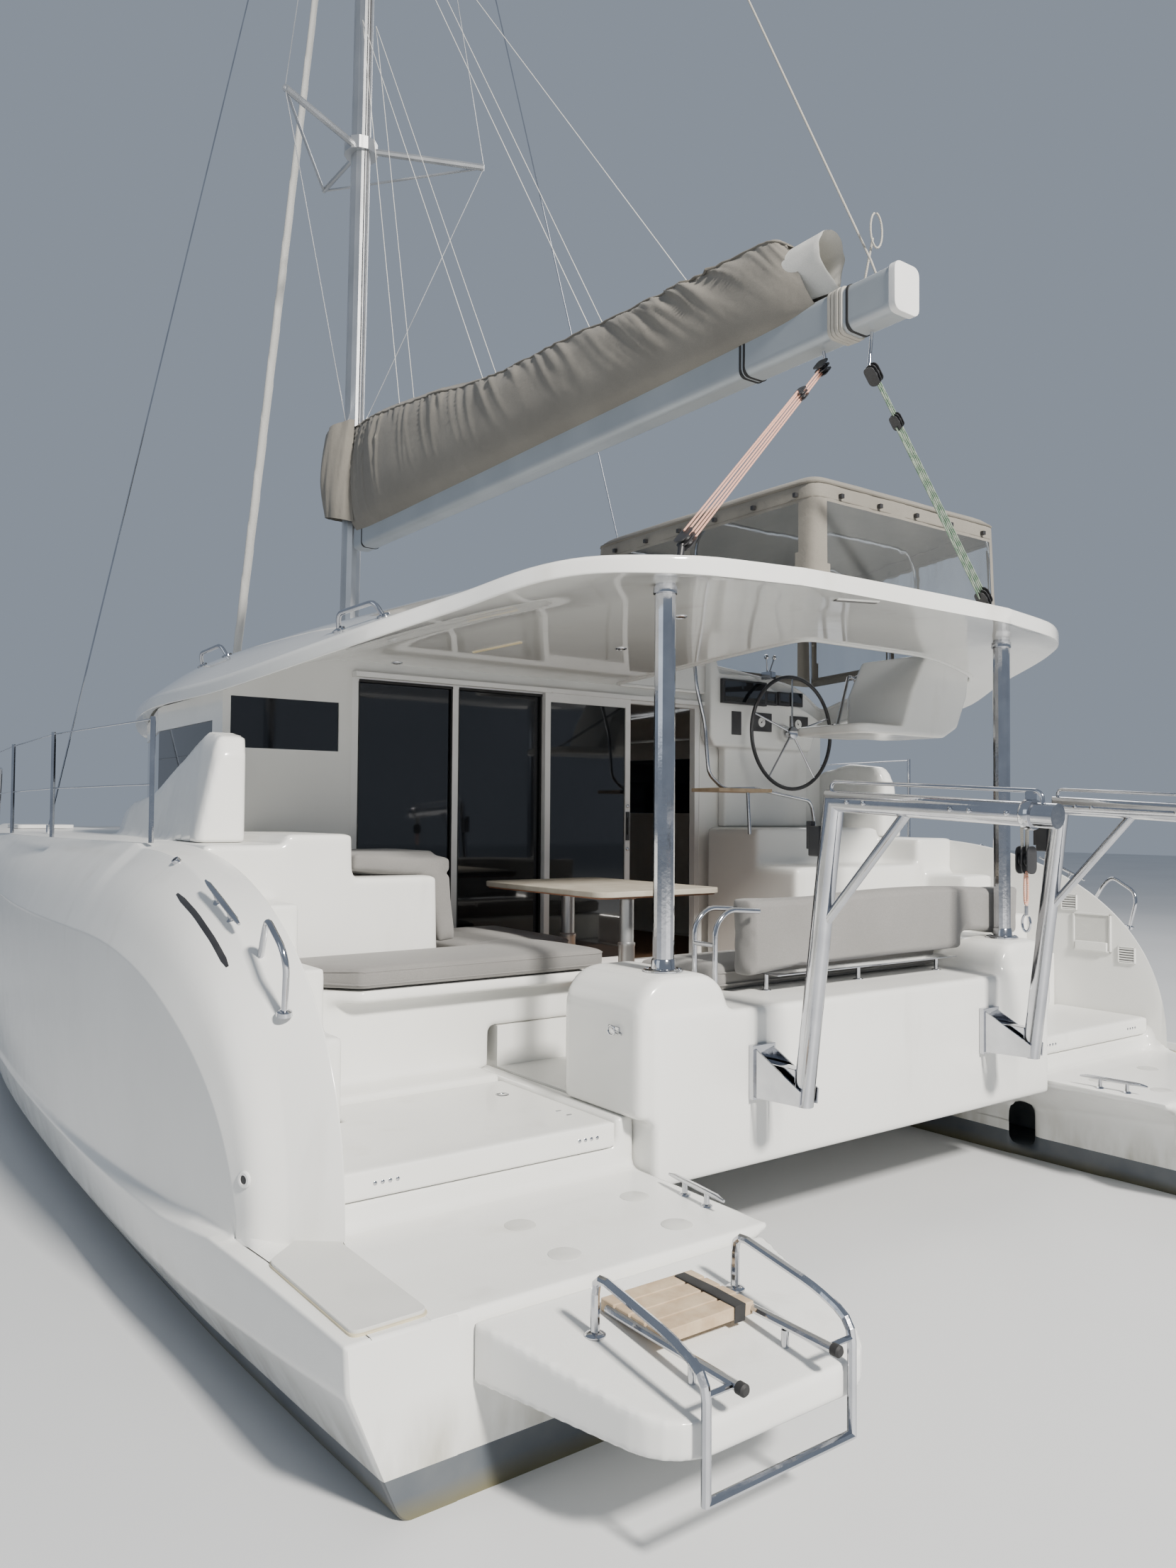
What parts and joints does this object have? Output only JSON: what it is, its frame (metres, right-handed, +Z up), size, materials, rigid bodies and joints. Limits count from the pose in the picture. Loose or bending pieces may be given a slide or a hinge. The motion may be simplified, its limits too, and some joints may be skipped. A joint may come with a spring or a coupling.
{
  "type": "cruising sailing catamaran with a hardtop cockpit",
  "caption": "White cruising sailing catamaran afloat, with hardtop, raised helm under a bimini, covered boom, stern steps and a folding boarding ladder.",
  "frame": {"origin": "amidships on the centreline, at the waterline", "axes": "+X to starboard, +Y forward to the bows, +Z up along the mast"},
  "size_m": [6.552, 11.78, 18.55],
  "materials": {
    "gelcoat": "glossy white gelcoat, softly worn",
    "bow_hatch": "white gelcoat with a non-slip top",
    "antifouling": "matt blue-grey antifouling",
    "stainless": "polished stainless steel",
    "aluminium": "anodised and white coated aluminium",
    "bronze": "bronze, dull",
    "engine": "grey engine paint",
    "dark_glass": "dark tinted acrylic and glass",
    "cushion_fabric": "taupe-grey woven outdoor cloth",
    "cover_fabric": "taupe acrylic canvas",
    "teak": "weathered teak-grey top",
    "wheel": "black leather-like rim on stainless spokes",
    "sailcloth": "white furling strip",
    "net": "dark braided net"
  },
  "bodies": {
    "root": {"hull_port": "gelcoat", "hull_starboard": "gelcoat", "swim_platform_port": "gelcoat", "swim_platform_starboard": "gelcoat", "bridge_deck": "gelcoat", "aft_beam": "gelcoat", "cockpit_moulding_port": "gelcoat", "cockpit_moulding_starboard": "gelcoat", "roof": "gelcoat", "saloon_walls": "gelcoat", "helm_console": "gelcoat", "helm_seat": "gelcoat", "galley_unit": "gelcoat", "pole_port": "stainless", "pole_starboard": "stainless", "shroud_port": "stainless", "shroud_starboard": "stainless", "guard_rail_port": "stainless", "guard_rail_starboard": "stainless", "davit_port": "stainless", "davit_starboard": "stainless", "ladder_hoops": "stainless", "backrest_frame": "stainless", "saildrive_port": "aluminium", "saildrive_starboard": "aluminium", "door_frame": "aluminium", "mast": "aluminium", "spreaders": "aluminium", "bow_beam": "aluminium", "engine_port": "engine", "engine_starboard": "engine", "window_front": "dark_glass", "window_port": "dark_glass", "window_starboard": "dark_glass", "window_aft_port": "dark_glass", "door_pane_1": "dark_glass", "door_pane_2": "dark_glass", "cushion_port_bench": "cushion_fabric", "cushion_port_back": "cushion_fabric", "cushion_aft_seat": "cushion_fabric", "cushion_aft_back": "cushion_fabric", "bimini_canopy": "cover_fabric", "table": "teak", "furled_jib": "sailcloth", "trampoline_port": "net", "trampoline_starboard": "net"},
    "rudder_port": {"rudder_port": "antifouling"},
    "rudder_starboard": {"rudder_starboard": "antifouling"},
    "helm_wheel": {"helm_wheel": "wheel"},
    "propeller_port": {"propeller_port": "bronze"},
    "propeller_starboard": {"propeller_starboard": "bronze"},
    "boom": {"boom": "aluminium", "sail_cover": "cover_fabric"},
    "door_leaf": {"door_leaf": "aluminium", "door_leaf_glass": "dark_glass"},
    "swim_ladder": {"swim_ladder": "stainless"},
    "locker_lid_port": {"locker_lid_port": "gelcoat"},
    "locker_lid_starboard": {"locker_lid_starboard": "gelcoat"},
    "bow_hatch_port": {"bow_hatch_port": "bow_hatch"},
    "bow_hatch_starboard": {"bow_hatch_starboard": "bow_hatch"}
  },
  "joints": [
    {"name": "rudder_port_turn", "type": "hinge", "parent": "root", "child": "rudder_port", "pos_m": [-2.34, -4.48, -0.3], "axis": [0, 0, 1], "range_deg": [-35, 35]},
    {"name": "rudder_starboard_turn", "type": "hinge", "parent": "root", "child": "rudder_starboard", "pos_m": [2.34, -4.48, -0.3], "axis": [0, 0, 1], "range_deg": [-35.1, 35.1]},
    {"name": "helm_turn", "type": "hinge", "parent": "root", "child": "helm_wheel", "pos_m": [1.865, -2.255, 2.677], "axis": [0, 1, 0], "range_deg": [-450.5, 450.5]},
    {"name": "propeller_port_spin", "type": "hinge", "parent": "root", "child": "propeller_port", "pos_m": [-2.34, -4.16, -0.73], "axis": [0, 1, 0], "continuous": true},
    {"name": "propeller_starboard_spin", "type": "hinge", "parent": "root", "child": "propeller_starboard", "pos_m": [2.34, -4.16, -0.73], "axis": [0, 1, 0], "continuous": true},
    {"name": "boom_swing", "type": "hinge", "parent": "root", "child": "boom", "pos_m": [0, 1.545, 4.63], "axis": [0, 0, 1], "range_deg": [-50, 50]},
    {"name": "door_slide", "type": "slide", "parent": "root", "child": "door_leaf", "axis": [1, 0, 0], "range_m": [-0.66, 0.66]},
    {"name": "ladder_fold", "type": "hinge", "parent": "root", "child": "swim_ladder", "pos_m": [-2.145, -6.03, 0.515], "axis": [1, 0, 0], "range_deg": [0, 255]},
    {"name": "locker_lid_port_open", "type": "hinge", "parent": "root", "child": "locker_lid_port", "pos_m": [-2.19, -4.5, 0.64], "axis": [1, 0, 0], "range_deg": [0, 95]},
    {"name": "locker_lid_starboard_open", "type": "hinge", "parent": "root", "child": "locker_lid_starboard", "pos_m": [2.19, -4.5, 0.64], "axis": [1, 0, 0], "range_deg": [0, 95]},
    {"name": "bow_hatch_port_open", "type": "hinge", "parent": "root", "child": "bow_hatch_port", "pos_m": [-2.33, 4.005, 1.8745], "axis": [-1, 0, 0], "range_deg": [0, 85]},
    {"name": "bow_hatch_starboard_open", "type": "hinge", "parent": "root", "child": "bow_hatch_starboard", "pos_m": [2.33, 4.005, 1.8745], "axis": [-1, 0, 0], "range_deg": [0, 85]}
  ],
  "couplings": [
    {"joint": "rudder_starboard_turn", "follows": "rudder_port_turn", "ratio": 1},
    {"joint": "helm_turn", "follows": "rudder_port_turn", "ratio": 12.857}
  ]
}
